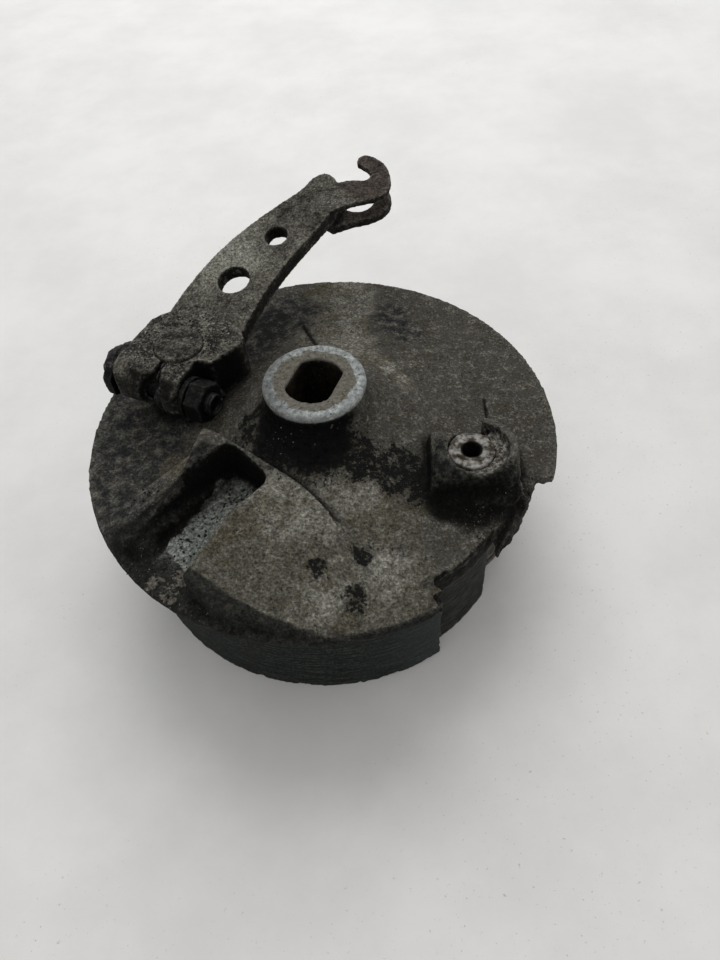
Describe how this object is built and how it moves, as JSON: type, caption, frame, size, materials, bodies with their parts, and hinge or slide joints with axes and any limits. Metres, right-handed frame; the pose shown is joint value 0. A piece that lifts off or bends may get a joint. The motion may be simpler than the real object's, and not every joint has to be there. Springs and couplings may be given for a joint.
{
  "type": "drum brake backing plate",
  "caption": "Drum brake backing plate with axle boss and torque slot, carrying a cam-and-arm lever and two hinged brake shoes with return springs.",
  "frame": {"origin": "centre of the whole footprint, on the surface that the edges of the brake shoes stand on", "axes": "+Z along the axle, towards the outer face with the brake arm; +Y across the plate, towards the end of the brake arm; +X to the right, towards the anchor pin"},
  "size_m": [0.123, 0.1379, 0.0726],
  "materials": {
    "cast_plate": "matte",
    "seal_rubber": "matte",
    "anchor_steel": "matte",
    "dull_steel": "matte",
    "spring_steel": "satin",
    "cam_steel": "matte",
    "felt": "matte",
    "arm_steel": "matte",
    "greasy_steel": "satin",
    "shoe_alloy": "matte",
    "lining": "matte",
    "slipper_steel": "satin"
  },
  "bodies": {
    "brake_panel": {"backing_plate": "cast_plate", "hub_seal": "seal_rubber", "anchor_pin": "anchor_steel", "anchor_washer": "dull_steel", "anchor_clip": "spring_steel", "cam_felt_seal": "felt", "cam_side_spring": "spring_steel", "anchor_side_spring": "spring_steel"},
    "cam_lever": {"cam_shaft": "cam_steel", "cam_washer": "dull_steel", "brake_arm": "arm_steel", "pinch_bolt": "greasy_steel", "pinch_washer": "greasy_steel", "pinch_nut": "greasy_steel"},
    "lower_shoe_set": {"lower_shoe": "shoe_alloy", "lower_lining": "lining", "lower_slipper": "slipper_steel"},
    "upper_shoe_set": {"upper_shoe": "shoe_alloy", "upper_lining": "lining", "upper_slipper": "slipper_steel"}
  },
  "joints": [
    {"name": "brake_apply", "type": "hinge", "parent": "brake_panel", "child": "cam_lever", "pos_m": [-0.03478, 0.00923, 0.05], "axis": [0, 0, -1], "range_deg": [0, 25], "stiffness_Nm_per_rad": 4},
    {"name": "lower_shoe_pivot", "type": "hinge", "parent": "brake_panel", "child": "lower_shoe_set", "pos_m": [0.03666, -0.02655, 0.014], "axis": [0, 0, 1], "range_deg": [0, 2.6], "deforming": ["cam_side_spring", "anchor_side_spring"]},
    {"name": "upper_shoe_pivot", "type": "hinge", "parent": "brake_panel", "child": "upper_shoe_set", "pos_m": [0.03666, -0.02655, 0.014], "axis": [0, 0, -1], "range_deg": [0, 2.6], "deforming": ["cam_side_spring", "anchor_side_spring"]}
  ],
  "couplings": [
    {"joint": "lower_shoe_pivot", "follows": "brake_apply", "ratio": 0.1},
    {"joint": "upper_shoe_pivot", "follows": "brake_apply", "ratio": 0.1}
  ]
}
